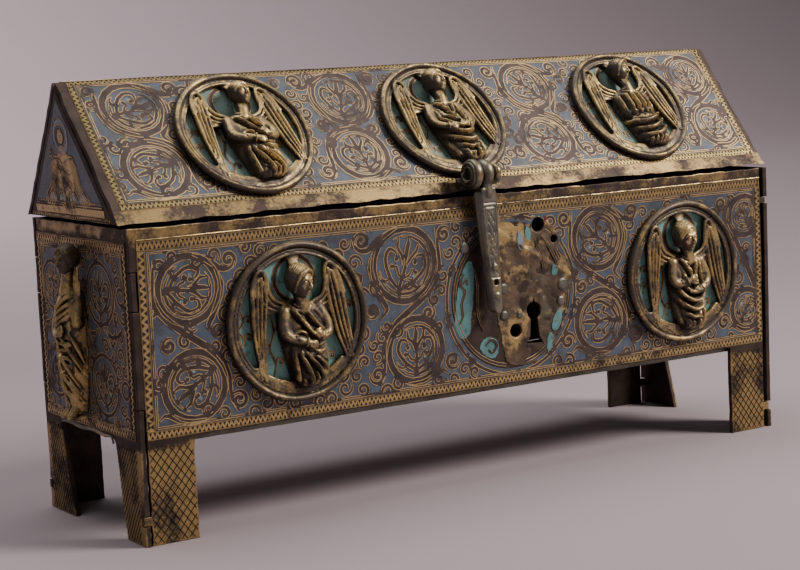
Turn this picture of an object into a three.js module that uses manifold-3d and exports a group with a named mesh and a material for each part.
// A house-shaped reliquary casket of gilt and enamelled copper plates, in millimetres, +Z up.
// Four wall plates with cut-out legs are joined at the corners by fingers, and a base plate closes
// the box. A gabled lid of two roof plates and two gables turns on two strap hinges at the back.
// A hasp hangs from a lug on the eave. Openwork roundels with half-length winged figures are
// pinned to the front wall and the front roof, and a standing figure to the left end wall.
// X runs along the casket, the front faces -Y, and Z is measured from the feet.

import * as THREE from "three";
import { mergeVertices } from "three/addons/utils/BufferGeometryUtils.js";
import Module from "manifold-3d";

// ---- driving dimensions ----
const casketLength = 310;
const casketDepth = 88;
const wallHeight = 117;
const legHeight = 38.5;
const legWidth = 22.4;
const plate = 2.6; // thickness of the wall, roof and gable plates
const seat = 0.3; // clearance between neighbouring pieces

const baseThickness = 2;
const baseDrop = 1.9; // the base plate shows this much below the lower edge of the front wall

const eaveHeight = wallHeight + 1.4;
const ridgeHeight = 172;
const lidDepth = 84;
const lidLength = 315;
const ridgeFlat = 1.2; // the ridge is worn flat over this half width

// Heights between which an end plate's finger reaches through the front or back wall.
const commonFingers = [
  [0, 7.6],
  [11.6, 50.6],
  [87, 101],
];
const frontRightFingers = [
  [0, 7.6],
  [11.6, 101],
  [104, wallHeight],
];

const endLeg = { frontFoot: 16.5, frontTop: 22, rearFoot: 24.3, rearTop: 15, height: 37.2 };

const keyhole = { x: 25, eyeHeight: 67.4, eyeRadius: 3.5, waist: 1.8, foot: 4.6, footHeight: 53.6 };
const nailHoles = [
  { x: 28.6, z: 102.6, radius: 3 },
  { x: 36.6, z: 96, radius: 1.5 },
  { x: 15.4, z: 60.2, radius: 2.6 },
];

// Each roundel's place on its face, and the way its half-length figure holds itself: the head's
// place, the hips' shift to the side, and each arm as [u, v, height] from shoulder to hand.
const roundelRadius = 30.8; // the relief below is drawn for this radius and scaled to the others
const frontRoundels = [
  {
    name: "roundel_front_left",
    x: -87.5,
    up: 76.2,
    radius: 30.8,
    head: [-0.6, 16.8],
    hips: 1.2,
    arms: [[[-8, 3, 6], [-7, -4, 8], [-1, -6, 9.4]], [[8.6, 3, 6], [10, -5, 7.4], [4, -9.4, 8.8]]],
  },
  {
    name: "roundel_front_right",
    x: 104.5,
    up: 75.6,
    radius: 30.8,
    head: [-1.6, 16.4],
    hips: 1.8,
    arms: [[[-8, 3, 6], [-9, -6, 7.6], [-2, -6, 9.4]], [[8.8, 3, 6], [10.6, -4, 7.4], [5.4, -8, 8.8]]],
  },
];
const roofRoundels = [
  {
    name: "roundel_roof_left",
    x: -93,
    up: 35.4,
    radius: 28.6,
    head: [1.2, 15.4],
    hips: 0.4,
    arms: [[[-8, 3, 6], [-7, -3, 8], [3, -1, 9.4]], [[8, 3, 6], [10, -5, 7.6], [3.6, -5, 9]]],
  },
  {
    name: "roundel_roof_middle",
    x: -0.8,
    up: 35.4,
    radius: 28.6,
    head: [0.4, 16.4],
    hips: 0.8,
    arms: [[[-8, 4, 6], [-10, -5, 7.6], [-3, -5, 9.4]], [[8, 3, 6], [9.6, -4, 7.6], [5, 0, 9]]],
  },
  {
    name: "roundel_roof_right",
    x: 97.5,
    up: 35.4,
    radius: 28.6,
    head: [-0.4, 16.6],
    hips: 1.6,
    arms: [[[-8, 4, 6], [-9, -2, 7.8], [-3, 1.6, 9.2]], [[8, 3, 6], [9.6, -2, 7.6], [4, 2, 9]]],
  },
];

const endFigure = { along: 4, footHeight: 41.5, height: 68 };

const hasp = {
  x: -0.5,
  lean: 3, // the tip hangs this far to the right of the knuckle
  axisY: -casketDepth / 2 - 3.6,
  axisZ: 125.9,
  lugRadius: 6.2,
  knuckleRadius: 5.7,
  knuckleWidth: 5.4,
  lugWidth: 5,
  pinRadius: 2,
  shoulderHeight: 119,
  tipHeight: 69.5,
  topWidth: 10.8,
  tipWidth: 6.6,
  thickness: 3.4,
};

const hinge = {
  places: [-95, 95],
  axisY: casketDepth / 2 + 3.4,
  axisZ: eaveHeight + 0.3,
  barrel: 2.6,
  pin: 1.1,
  width: 18,
  middle: 5.8, // width of the lid's knuckle
  leaf: 1.3, // thickness of a leaf
  drop: 25, // length of each leaf
};

// ---- derived dimensions ----
const halfLength = casketLength / 2;
const halfDepth = casketDepth / 2;
const halfLidDepth = lidDepth / 2;
const roofAngle = Math.atan2(ridgeHeight - eaveHeight, halfLidDepth);
const roofThicknessLevel = plate / Math.sin(roofAngle); // the roof plate's thickness, taken level

// ---- finishes ----
function finish(color, roughness, metalness) {
  return new THREE.MeshStandardMaterial({ color, roughness, metalness });
}
const giltCopper = () => finish(0xa8834a, 0.42, 0.9);
const enamelled = () => finish(0x5b6577, 0.35, 0.25);
const bareCopper = () => finish(0x5a463a, 0.55, 0.8);

const wasm = await Module();
wasm.setup();

// ---- solids: three.js geometry in, joined or cut, three.js geometry out ----
function toSolid(geometry) {
  const bare = geometry.index ? geometry.toNonIndexed() : geometry.clone();
  for (const key of Object.keys(bare.attributes)) if (key !== "position") bare.deleteAttribute(key);
  const merged = mergeVertices(bare, 1e-4);
  return new wasm.Manifold(
    new wasm.Mesh({
      numProp: 3,
      vertProperties: new Float32Array(merged.attributes.position.array),
      triVerts: new Uint32Array(merged.index.array),
    }),
  );
}

function toGeometry(solid) {
  const mesh = solid.getMesh();
  const places = new Float32Array(mesh.numVert * 3);
  for (let i = 0; i < mesh.numVert; i++)
    places.set(mesh.vertProperties.subarray(i * mesh.numProp, i * mesh.numProp + 3), i * 3);
  const geometry = new THREE.BufferGeometry();
  geometry.setAttribute("position", new THREE.BufferAttribute(places, 3));
  geometry.setIndex(new THREE.BufferAttribute(mesh.triVerts, 1));
  geometry.computeVertexNormals();
  return geometry;
}

const joined = (geometries) => geometries.map(toSolid).reduce((all, next) => all.add(next));

function piece(name, geometry, material) {
  const mesh = new THREE.Mesh(geometry, material);
  mesh.name = name;
  return mesh;
}

const outlineShape = (points) => new THREE.Shape(points.map(([x, y]) => new THREE.Vector2(x, y)));

// A flat plate behind its outer face: the outline lies in the face, and the plate runs back from it.
function plateGeometry(shape, thickness) {
  const options = { depth: thickness, bevelEnabled: false, curveSegments: 10 };
  return new THREE.ExtrudeGeometry(shape, options).translate(0, 0, -thickness);
}

// A prism along X from x0 to x1 whose section is given as [y, z] points.
function prismAlongX(section, x0, x1) {
  const options = { depth: x1 - x0, bevelEnabled: false };
  const geometry = new THREE.ExtrudeGeometry(outlineShape(section), options);
  // the section's own x and y become Y and Z, and its depth becomes X
  const turn = new THREE.Matrix4().set(0, 0, 1, x0, 1, 0, 0, 0, 0, 1, 0, 0, 0, 0, 0, 1);
  return geometry.applyMatrix4(turn);
}

function cylinderAlongX(radius, x0, x1, y, z, sides) {
  const geometry = new THREE.CylinderGeometry(radius, radius, x1 - x0, sides);
  return geometry.rotateZ(Math.PI / 2).translate((x0 + x1) / 2, y, z);
}

// ---- face frames: u to the viewer's right, v up the face, h out of it ----
function faceFrame(origin, turnAboutZ, lean) {
  const outer = new THREE.Group();
  outer.position.copy(origin);
  outer.rotation.z = turnAboutZ;
  const inner = new THREE.Group();
  inner.rotation.x = lean;
  outer.add(inner);
  return { outer, inner };
}

const upright = Math.PI / 2;
const frames = {
  front: faceFrame(new THREE.Vector3(0, -halfDepth, 0), 0, upright),
  back: faceFrame(new THREE.Vector3(0, halfDepth, 0), Math.PI, upright),
  left: faceFrame(new THREE.Vector3(-halfLength, 0, 0), -Math.PI / 2, upright),
  right: faceFrame(new THREE.Vector3(halfLength, 0, 0), Math.PI / 2, upright),
  roof: faceFrame(new THREE.Vector3(0, -halfLidDepth, eaveHeight), 0, roofAngle),
  gableLeft: faceFrame(new THREE.Vector3(-lidLength / 2, 0, eaveHeight), -Math.PI / 2, upright),
  gableRight: faceFrame(new THREE.Vector3(lidLength / 2, 0, eaveHeight), Math.PI / 2, upright),
};

// ---- wall plates ----
// Going up a plate's edge at x, the outline steps to inset between each pair of heights.
function edgeUp(edge, inset, steps, top) {
  const points = [];
  let height = 0;
  for (const [low, high] of steps) {
    if (low > height) points.push([edge, height], [edge, low]);
    points.push([inset, low], [inset, high]);
    height = high;
  }
  if (height < top) points.push([edge, height], [edge, top]);
  return points;
}

const widened = (fingers) =>
  fingers.map(([low, high]) => [low > 0 ? low - seat : 0, high < wallHeight ? high + seat : high]);

// A long wall: an apron between two legs, notched at both ends for the end plates' fingers.
function longWallShape(leftFingers, rightFingers) {
  const notch = halfLength - plate - seat;
  const right = edgeUp(halfLength, notch, widened(rightFingers), wallHeight);
  const left = edgeUp(-halfLength, -notch, widened(leftFingers), wallHeight).reverse();
  const inner = halfLength - legWidth;
  const apron = [
    [-inner, 0],
    [-inner, legHeight],
    [inner, legHeight],
    [inner, 0],
  ];
  return outlineShape([...apron, ...right, ...left]);
}

function keyholePath() {
  const { x, eyeHeight, eyeRadius, waist, foot, footHeight } = keyhole;
  const opening = Math.asin(waist / eyeRadius);
  const path = new THREE.Path();
  path.moveTo(x - foot, footHeight + 0.6);
  path.lineTo(x + foot, footHeight);
  path.lineTo(x + waist * 1.3, footHeight + 3.2);
  path.absarc(x, eyeHeight, eyeRadius, -Math.PI / 2 + opening, (3 * Math.PI) / 2 - opening, false);
  path.lineTo(x - waist * 1.2, footHeight + 3.6);
  path.closePath();
  return path;
}

function frontWall() {
  const shape = longWallShape(commonFingers, frontRightFingers);
  shape.holes.push(keyholePath());
  for (const { x, z, radius } of nailHoles) {
    const hole = new THREE.Path();
    hole.absarc(x, z, radius, 0, Math.PI * 2, false);
    shape.holes.push(hole);
  }
  return piece("front_wall", plateGeometry(shape, plate), enamelled());
}

const backWall = () =>
  piece("back_wall", plateGeometry(longWallShape(commonFingers, commonFingers), plate), enamelled());

// An end wall fits between the long walls, and its fingers reach their outer faces.
// frontSide is +1 where the casket's front lies at the plate's right, and -1 where it lies at the left.
function endWall(name, frontSide, frontFingers) {
  const reach = halfDepth;
  const body = halfDepth - plate - seat;
  const frontEdge = edgeUp(body, reach, frontFingers, wallHeight);
  const rearEdge = edgeUp(-body, -reach, commonFingers, wallHeight).reverse();
  const arch = [
    [-reach + endLeg.rearFoot, 0],
    [-reach + endLeg.rearTop, endLeg.height - 1.6],
    [-reach + endLeg.rearTop + 1.6, endLeg.height],
    [reach - endLeg.frontTop - 1.6, endLeg.height],
    [reach - endLeg.frontTop, endLeg.height - 1.6],
    [reach - endLeg.frontFoot, 0],
  ];
  let outline = [...arch, ...frontEdge, ...rearEdge];
  if (frontSide < 0) outline = outline.map(([u, v]) => [-u, v]).reverse();
  return piece(name, plateGeometry(outlineShape(outline), plate), enamelled());
}

function basePlate() {
  const length = casketLength - 2 * (plate + seat);
  const depth = casketDepth - 2 * (plate + seat);
  const geometry = new THREE.BoxGeometry(length, depth, baseThickness);
  geometry.translate(0, 0, legHeight - baseDrop + baseThickness / 2);
  return piece("base_plate", geometry, bareCopper());
}

// ---- lid plates ----
// The two roof plates lean together and are cut plumb where they meet at the ridge.
function roofPlate(name, side) {
  const rise = Math.tan(roofAngle);
  const meet = seat / 2;
  const section = [
    [-halfLidDepth, eaveHeight],
    [-halfLidDepth + roofThicknessLevel, eaveHeight],
    [-meet, eaveHeight + (halfLidDepth - roofThicknessLevel - meet) * rise],
    [-meet, ridgeHeight - ridgeFlat * rise],
    [-ridgeFlat, ridgeHeight - ridgeFlat * rise],
  ];
  const facing = side < 0 ? section : section.map(([y, z]) => [-y, z]).reverse();
  return piece(name, prismAlongX(facing, -lidLength / 2, lidLength / 2), enamelled());
}

// A gable closes the end of the lid between the undersides of the roof plates.
function gable(name) {
  const half = halfLidDepth - roofThicknessLevel - seat;
  const shape = outlineShape([
    [-half, 0],
    [half, 0],
    [0, half * Math.tan(roofAngle)],
  ]);
  return piece(name, plateGeometry(shape, plate), enamelled());
}

// ---- relief figures ----
// A closed relief whose levels are [v, centre u, half width, height]; its back is flat at h = seat.
// Folds ripple the front, and drift carries them sideways as they run down.
function reliefLoft(levels, { steps, around, folds, foldDepth, drift }) {
  const middles = new THREE.CatmullRomCurve3(levels.map(([, u, w, h]) => new THREE.Vector3(u, w, h)));
  const places = [];
  for (let i = 0; i <= steps; i++) {
    const t = i / steps;
    const between = Math.min(t * (levels.length - 1), levels.length - 1.001);
    const level = Math.floor(between);
    const v = THREE.MathUtils.lerp(levels[level][0], levels[level + 1][0], between - level);
    const at = middles.getPoint(t);
    for (let j = 0; j < around; j++) {
      const angle = (Math.PI * j) / (around - 1);
      const ripple = 1 + foldDepth * Math.cos(folds * angle + drift * (v - levels[0][0])) * Math.sin(angle);
      places.push([at.x + at.y * Math.cos(angle), v, seat + at.z * Math.sin(angle) * ripple]);
    }
  }
  return ringLoft(places, around);
}

// A closed loft through places, which are rings of [x, y, z] corners laid end to end.
function ringLoft(places, corners) {
  const faces = [];
  const top = places.length - corners;
  for (let i = 0; i < top; i += corners)
    for (let j = 0; j < corners; j++) {
      const next = (j + 1) % corners;
      faces.push(i + j, i + corners + next, i + next, i + j, i + corners + j, i + corners + next);
    }
  for (let j = 1; j < corners - 1; j++) faces.push(0, j, j + 1, top, top + j + 1, top + j);
  const geometry = new THREE.BufferGeometry();
  geometry.setAttribute("position", new THREE.Float32BufferAttribute(places.flat(), 3));
  geometry.setIndex(faces);
  return geometry;
}

const ellipsoid = (centre, radii, across = 8, down = 6) =>
  new THREE.SphereGeometry(1, across, down).scale(...radii).translate(...centre);

// A rounded limb or roll of cloth along a smooth line of [u, v, h] points.
function roll(points, radius, sides = 6, steps = 3) {
  const line = new THREE.CatmullRomCurve3(points.map((p) => new THREE.Vector3(...p)));
  const angles = Array.from({ length: sides }, (_, i) => (2 * Math.PI * i) / sides);
  const section = outlineShape(angles.map((turn) => [radius * Math.cos(turn), radius * Math.sin(turn)]));
  return new THREE.ExtrudeGeometry(section, { steps, extrudePath: line, bevelEnabled: false });
}

// One wing: a strip of feathers from the rim above down to the rim below, tied to the shoulder.
function wing(side, spread) {
  const strip = [
    [14, 21.4],
    [18.6, 18.6],
    [19.6 + spread * 0.4, 6],
    [20.4 + spread, -8],
    [19.4 + spread * 1.3, -18.4],
    [14.8 + spread * 1.2, -20.6],
    [14.4 + spread, -8],
    [13.4, 3.6],
    [6.6, 2.6],
    [5, 8],
    [10, 9],
    [12.2, 14],
  ];
  const outline = strip.map(([u, v]) => [side * u, v]);
  const feathers = plateGeometry(outlineShape(side < 0 ? outline : outline.reverse()), 2.7);
  return feathers.translate(0, 0, seat + 2.7);
}

// The moulded rim: an outer bead, a groove and a flat inner band.
function rim(radius) {
  const profile = [
    [radius - 5.6, seat],
    [radius - 0.2, seat],
    [radius, 2.2],
    [radius - 1.6, 3.8],
    [radius - 3.1, 2.2],
    [radius - 5.6, 2.1],
    [radius - 5.6, seat],
  ];
  return new THREE.LatheGeometry(profile.map(([r, h]) => new THREE.Vector2(r, h)), 28).rotateX(Math.PI / 2);
}

// An openwork roundel in its face's frame, about its own centre.
function roundel({ name, x, up, radius, head, hips, arms }) {
  const [headU, headV] = head;
  const body = reliefLoft(
    [
      [-25.2, hips * 1.2, 9, 5],
      [-17, hips * 1.2, 9.6, 7.6],
      [-8, hips, 9.8, 8.4],
      [0, hips * 0.4, 9.4, 8],
      [6, headU * 0.4, 8.6, 6],
      [10.6, headU, 4, 4.4],
    ],
    { steps: 6, around: 8, folds: 5, foldDepth: 0.14, drift: 0.06 },
  );
  const hem = reliefLoft(
    [
      [-27.6, hips, 8.4, 2.4],
      [-25.4, hips, 11, 5],
      [-23.2, hips, 9, 4],
    ],
    { steps: 2, around: 7, folds: 5, foldDepth: 0.1, drift: 0 },
  );
  const parts = [
    body,
    hem,
    ellipsoid([headU, headV - 5.6, 4.4], [2.8, 4, 3.4], 6, 4),
    ellipsoid([headU, headV - 0.4, 6.6], [4.9, 6.2, 4.7]),
    ellipsoid([headU, headV + 1, 5.4], [5.7, 6.2, 4.7]),
    new THREE.BoxGeometry(6, 7, 2.4).translate(headU * 0.5, 22.6, seat + 1.2),
    ...arms.map((arm) => roll(arm, 2, 5)),
    roll([[-6.4, -20, 5.5], [0, -13, 8.4], [7.6, -8, 7]], 1.4, 5, 2),
    wing(-1, -0.6),
    wing(1, 1.8),
  ];
  const shrink = radius / roundelRadius;
  const scaled = parts.map((geometry) => geometry.scale(shrink, shrink, 1));
  const mesh = piece(name, toGeometry(joined([rim(radius), ...scaled])), giltCopper());
  mesh.position.set(x, up, 0);
  return mesh;
}

// The standing figure on the left end wall: long robe, forearms raised to a book, feet on a ledge.
function standingFigure() {
  const tall = endFigure.height;
  const robe = reliefLoft(
    [
      [3.4, 0.6, 6.6, 4.4],
      [14, 0.4, 7.6, 6],
      [30, 0, 8.8, 7.4],
      [42, 0, 9.4, 7.8],
      [50, -0.2, 9, 6.4],
      [55.6, -0.4, 4, 4.4],
    ],
    { steps: 8, around: 8, folds: 5, foldDepth: 0.14, drift: 0.05 },
  );
  const parts = [
    robe,
    ellipsoid([-0.6, 56.4, 4], [2.5, 3.6, 3.2], 6, 4),
    ellipsoid([-0.8, tall - 6.2, 5], [4.6, 6.2, 4.7]),
    ellipsoid([-0.8, tall - 5, 4.2], [5.3, 5.8, 4.2]),
    roll([[-8, 47, 5], [-8, 38, 6.6], [-2, 39, 9], [5, 43, 9]], 2, 5, 4),
    roll([[8, 47, 5], [8.6, 38, 6.6], [6.6, 45, 8.8], [6.4, 51, 8.6]], 1.9, 5, 4),
    new THREE.BoxGeometry(5.6, 7.4, 2.4).rotateZ(0.15).translate(3.4, 46.6, 9.2),
    roll([[-7, 30, 5.6], [-1, 22, 8], [6, 27, 6.8]], 1.4, 5),
    roll([[-7, 22, 5.2], [-1, 14, 7], [5.6, 19, 6.2]], 1.3, 5),
    ellipsoid([-3.2, 2.6, 4], [2.2, 2.2, 4], 6, 4),
    ellipsoid([3.8, 2.8, 4], [2.2, 2.2, 4], 6, 4),
    new THREE.BoxGeometry(15.4, 2.2, 6).translate(0.4, 1.1, seat + 3),
  ];
  const mesh = piece("end_figure", toGeometry(joined(parts)), giltCopper());
  // the left wall's u runs towards the front, so a place behind the middle is at negative u
  mesh.position.set(-endFigure.along, endFigure.footHeight, 0);
  return mesh;
}

// ---- hasp and its lug ----
function haspLug() {
  const { x, axisY, axisZ, lugRadius, knuckleWidth, lugWidth, pinRadius } = hasp;
  const inner = knuckleWidth / 2 + seat;
  const outer = inner + lugWidth;
  const foot = new THREE.Vector2(-halfLidDepth, eaveHeight);
  const up = new THREE.Vector2(Math.cos(roofAngle), Math.sin(roofAngle));
  const out = new THREE.Vector2(-Math.sin(roofAngle), Math.cos(roofAngle));
  const onRoof = (s, h) => [foot.x + up.x * s + out.x * h, foot.y + up.y * s + out.y * h];
  const flangeSection = [onRoof(6, seat), onRoof(6, 1.9), onRoof(0.4, 1.9), onRoof(0.4, seat)];
  const flange = prismAlongX(flangeSection, x - outer, x + outer);
  const ears = [-1, 1].flatMap((side) => {
    const from = side < 0 ? x - outer : x + inner;
    const web = [onRoof(0.5, 1), [axisY + 1.5, axisZ - 5.6], [axisY + 2.6, axisZ + 5], onRoof(5.8, 1)];
    return [
      cylinderAlongX(lugRadius, from, from + lugWidth, axisY, axisZ, 20),
      prismAlongX(web, from, from + lugWidth),
    ];
  });
  const bore = toSolid(cylinderAlongX(pinRadius + seat, x - outer - 1, x + outer + 1, axisY, axisZ, 14));
  return piece("hasp_lug", toGeometry(joined([flange, ...ears]).subtract(bore)), bareCopper());
}

function haspPin() {
  const { x, axisY, axisZ, knuckleWidth, lugWidth, pinRadius } = hasp;
  const reach = knuckleWidth / 2 + seat + lugWidth - 1.4;
  return piece("hasp_pin", cylinderAlongX(pinRadius, x - reach, x + reach, axisY, axisZ, 14), bareCopper());
}

// A tapering bar with bevelled sides below a knuckle, with a nail hole near the tip.
function haspBar() {
  const { x, axisY, axisZ, knuckleRadius, knuckleWidth, shoulderHeight, tipHeight } = hasp;
  const { topWidth, tipWidth, thickness, pinRadius } = hasp;
  const half = knuckleWidth / 2;
  const back = axisY;
  const front = axisY - thickness;
  const ring = (z, width) => {
    const middle = x + (hasp.lean * (shoulderHeight - z)) / (shoulderHeight - tipHeight);
    const facet = width * 0.29;
    return [
      [middle - width / 2, back, z],
      [middle + width / 2, back, z],
      [middle + width / 2, back - 0.9, z],
      [middle + facet, front, z],
      [middle - facet, front, z],
      [middle - width / 2, back - 0.9, z],
    ];
  };
  const rings = [
    ring(tipHeight, tipWidth * 0.7),
    ring(tipHeight + 1.6, tipWidth),
    ring(shoulderHeight - 3.4, topWidth),
    ring(shoulderHeight - 0.8, knuckleWidth + 2.2),
    ring(shoulderHeight, knuckleWidth),
  ];
  const bar = ringLoft(rings.flat(), 6);
  const neck = new THREE.BoxGeometry(knuckleWidth, thickness, axisZ - shoulderHeight);
  neck.translate(x, (back + front) / 2, (axisZ + shoulderHeight) / 2 - 0.4);
  const knuckle = cylinderAlongX(knuckleRadius, x - half, x + half, axisY, axisZ, 24);
  const bore = toSolid(cylinderAlongX(pinRadius + seat, x - half - 1, x + half + 1, axisY, axisZ, 14));
  const nail = new THREE.CylinderGeometry(1.3, 1.3, 12, 10);
  nail.translate(x + hasp.lean * 0.75, axisY, tipHeight + 12.6);
  const solid = joined([bar, neck, knuckle]).subtract(bore).subtract(toSolid(nail));
  return piece("hasp", toGeometry(solid), bareCopper());
}

// ---- strap hinges at the back ----
const barrelAt = (x0, x1) => cylinderAlongX(hinge.barrel, x0, x1, hinge.axisY, hinge.axisZ, 12);
const hingeBore = (x) =>
  toSolid(cylinderAlongX(hinge.pin + seat, x - hinge.width, x + hinge.width, hinge.axisY, hinge.axisZ, 10));

// The wall leaf lies on the back wall, and two arms carry its knuckles.
function wallLeaf(name, x) {
  const half = hinge.width / 2;
  const gap = hinge.middle / 2 + seat;
  const inner = halfDepth + seat;
  const outer = inner + hinge.leaf;
  const low = hinge.axisZ - hinge.drop;
  const armFoot = hinge.axisZ - 6;
  const strapSection = [[inner, low], [outer, low], [outer, armFoot], [inner, armFoot]];
  const strap = prismAlongX(strapSection, x - half, x + half);
  const arm = [
    [inner, armFoot - 1],
    [outer, armFoot - 1],
    [hinge.axisY, hinge.axisZ - 1.8],
    [inner, hinge.axisZ],
  ];
  const arms = [-1, 1].flatMap((side) => {
    const from = side < 0 ? x - half : x + gap;
    const to = from + half - gap;
    return [prismAlongX(arm, from, to), barrelAt(from, to)];
  });
  return piece(name, toGeometry(joined([strap, ...arms]).subtract(hingeBore(x))), giltCopper());
}

// The lid leaf lies on the back roof, and one web carries its knuckle between the wall's two.
function lidLeaf(name, x) {
  const half = hinge.width / 2;
  const middle = hinge.middle / 2;
  const up = new THREE.Vector2(-Math.cos(roofAngle), Math.sin(roofAngle));
  const out = new THREE.Vector2(Math.sin(roofAngle), Math.cos(roofAngle));
  const onRoof = (s, h) => [halfLidDepth + up.x * s + out.x * h, eaveHeight + up.y * s + out.y * h];
  const top = seat + hinge.leaf;
  const strap = prismAlongX(
    [onRoof(2.2, seat), onRoof(2.2, top), onRoof(hinge.drop, top), onRoof(hinge.drop, seat)],
    x - half,
    x + half,
  );
  const web = [
    onRoof(0.8, seat),
    [hinge.axisY - 1, hinge.axisZ - 2],
    [hinge.axisY, hinge.axisZ + 1.5],
    onRoof(3, top),
  ];
  const solid = joined([strap, prismAlongX(web, x - middle, x + middle), barrelAt(x - middle, x + middle)]);
  return piece(name, toGeometry(solid.subtract(hingeBore(x))), giltCopper());
}

function hingePin(name, x) {
  const half = hinge.width / 2 + 1;
  const pin = cylinderAlongX(hinge.pin, x - half, x + half, hinge.axisY, hinge.axisZ, 10);
  return piece(name, pin, bareCopper());
}

// ---- assembly ----
const casket = new THREE.Group();
for (const frame of Object.values(frames)) casket.add(frame.outer);

frames.front.inner.add(frontWall(), ...frontRoundels.map(roundel));
frames.back.inner.add(backWall());
frames.left.inner.add(endWall("left_end_wall", 1, commonFingers), standingFigure());
frames.right.inner.add(endWall("right_end_wall", -1, frontRightFingers));
frames.roof.inner.add(...roofRoundels.map(roundel));
frames.gableLeft.inner.add(gable("gable_left"));
frames.gableRight.inner.add(gable("gable_right"));
casket.add(basePlate(), roofPlate("roof_front", -1), roofPlate("roof_back", 1));
casket.add(haspLug(), haspPin(), haspBar());
for (const [i, x] of hinge.places.entries()) {
  const side = ["left", "right"][i];
  casket.add(wallLeaf(`hinge_${side}_wall_leaf`, x), lidLeaf(`hinge_${side}_lid_leaf`, x));
  casket.add(hingePin(`hinge_${side}_pin`, x));
}

// The part's origin is the middle of its outer box, on the surface that the feet stand on.
casket.updateMatrixWorld(true);
const bounds = new THREE.Box3().setFromObject(casket, true);
const middle = bounds.getCenter(new THREE.Vector3());
casket.position.set(-middle.x, -middle.y, -bounds.min.z);

const part = new THREE.Group();
part.add(casket);

export default part;
